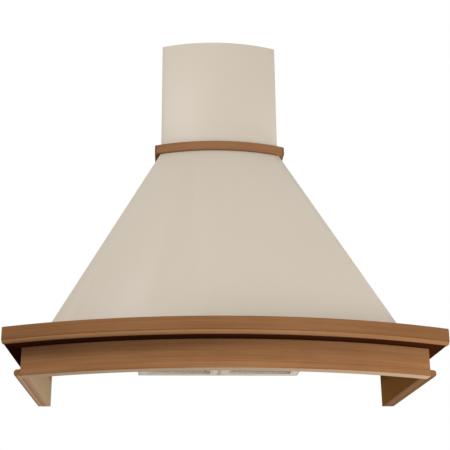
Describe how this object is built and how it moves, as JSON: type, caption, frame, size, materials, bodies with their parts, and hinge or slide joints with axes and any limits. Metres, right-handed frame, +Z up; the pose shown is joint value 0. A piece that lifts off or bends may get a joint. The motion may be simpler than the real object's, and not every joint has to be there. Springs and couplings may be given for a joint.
{
  "type": "range hood",
  "caption": "Wall range hood: tapered cream steel canopy with bowed front under a chimney, on a timber cornice and beaded apron, with blower, filters, lamps and push buttons.",
  "frame": {"origin": "wall face of the back plate, on the centre line, at the plate's lower edge", "axes": "+X to the right seen from the front, +Y into the wall, +Z up"},
  "size_m": [0.9, 0.5119, 0.884],
  "materials": {
    "timber": "satin",
    "cream_paint": "satin",
    "steel_sheet": "satin",
    "stainless": "brushed",
    "steel_rod": "polished",
    "aluminium_net": "satin",
    "grey_plastic": "matte",
    "fan_plastic": "matte",
    "rubber": "matte",
    "motor_paint": "satin",
    "black_plastic": "matte",
    "cap_plastic": "gloss",
    "button_plastic": "satin",
    "switch_face": "brushed",
    "reflector": "polished",
    "lens": "frosted",
    "bulb": "clear"
  },
  "bodies": {
    "hood": {"cornice_front": "timber", "cornice_left": "timber", "cornice_right": "timber", "apron_front": "timber", "apron_left": "timber", "apron_right": "timber", "bead_front": "timber", "bead_left": "timber", "bead_right": "timber", "neck_trim_front": "timber", "neck_trim_left": "timber", "neck_trim_right": "timber", "dowels": "timber", "canopy_shell": "cream_paint", "chimney_cover": "cream_paint", "underside_panel": "cream_paint", "filter_seat": "cream_paint", "back_plate": "steel_sheet", "blower_rails": "steel_sheet", "motor_spider": "steel_sheet", "lamp_bezel_left": "stainless", "lamp_bezel_right": "stainless", "filter_pivot": "steel_rod", "flap_rod": "steel_rod", "screws": "steel_rod", "scroll_housing": "grey_plastic", "outlet_spigot": "grey_plastic", "blower_bushes": "rubber", "motor": "motor_paint", "terminal_box": "black_plastic", "cable_gland": "black_plastic", "switch_box": "black_plastic", "lamp_holders": "black_plastic", "capacitor": "cap_plastic", "switch_plate": "switch_face", "lamp_cup_left": "reflector", "lamp_cup_right": "reflector", "lamp_glass_left": "lens", "lamp_glass_right": "lens", "lamp_bulbs": "bulb"},
    "fan": {"fan_wheel": "fan_plastic", "motor_shaft": "steel_rod"},
    "extension": {"chimney_extension": "stainless", "ceiling_strap": "steel_sheet"},
    "flap_front": {"flap_front": "grey_plastic"},
    "flap_back": {"flap_back": "grey_plastic"},
    "filter_left": {"filter_frame_left": "cream_paint", "filter_net_left": "aluminium_net"},
    "filter_right": {"filter_frame_right": "cream_paint", "filter_net_right": "aluminium_net"},
    "latch_left": {"filter_latch_left": "stainless"},
    "latch_right": {"filter_latch_right": "stainless"},
    "button_1": {"button_1": "button_plastic"},
    "button_2": {"button_2": "button_plastic"},
    "button_3": {"button_3": "button_plastic"},
    "button_4": {"button_4": "button_plastic"},
    "button_5": {"button_5": "button_plastic"}
  },
  "joints": [
    {"name": "fan_spin", "type": "hinge", "parent": "hood", "child": "fan", "pos_m": [0, -0.139, 0.133], "axis": [1, 0, 0], "continuous": true},
    {"name": "extension_slide", "type": "slide", "parent": "hood", "child": "extension", "axis": [0, 0, 1], "range_m": [0, 0.23]},
    {"name": "flap_front_swing", "type": "hinge", "parent": "hood", "child": "flap_front", "pos_m": [0, -0.088, 0.284], "axis": [-1, 0, 0], "range_deg": [0, 80]},
    {"name": "flap_back_swing", "type": "hinge", "parent": "hood", "child": "flap_back", "pos_m": [0, -0.088, 0.284], "axis": [1, 0, 0], "range_deg": [0, 80]},
    {"name": "filter_left_swing", "type": "hinge", "parent": "hood", "child": "filter_left", "pos_m": [0, -0.0185, -0.0075], "axis": [1, 0, 0], "range_deg": [0, 85]},
    {"name": "latch_left_slide", "type": "slide", "parent": "filter_left", "child": "latch_left", "axis": [0, 1, 0], "range_m": [0, 0.006], "stiffness_N_per_m": 300},
    {"name": "filter_right_swing", "type": "hinge", "parent": "hood", "child": "filter_right", "pos_m": [0, -0.0185, -0.0075], "axis": [1, 0, 0], "range_deg": [0, 85]},
    {"name": "latch_right_slide", "type": "slide", "parent": "filter_right", "child": "latch_right", "axis": [0, 1, 0], "range_m": [0, 0.006], "stiffness_N_per_m": 300},
    {"name": "button_1_push", "type": "slide", "parent": "hood", "child": "button_1", "axis": [0, 0, 1], "range_m": [0, 0.003], "stiffness_N_per_m": 400, "springref_m": -0.001},
    {"name": "button_2_push", "type": "slide", "parent": "hood", "child": "button_2", "axis": [0, 0, 1], "range_m": [0, 0.003], "stiffness_N_per_m": 400, "springref_m": -0.001},
    {"name": "button_3_push", "type": "slide", "parent": "hood", "child": "button_3", "axis": [0, 0, 1], "range_m": [0, 0.003], "stiffness_N_per_m": 400, "springref_m": -0.001},
    {"name": "button_4_push", "type": "slide", "parent": "hood", "child": "button_4", "axis": [0, 0, 1], "range_m": [0, 0.003], "stiffness_N_per_m": 400, "springref_m": -0.001},
    {"name": "button_5_push", "type": "slide", "parent": "hood", "child": "button_5", "axis": [0, 0, 1], "range_m": [0, 0.003], "stiffness_N_per_m": 400, "springref_m": -0.001}
  ]
}
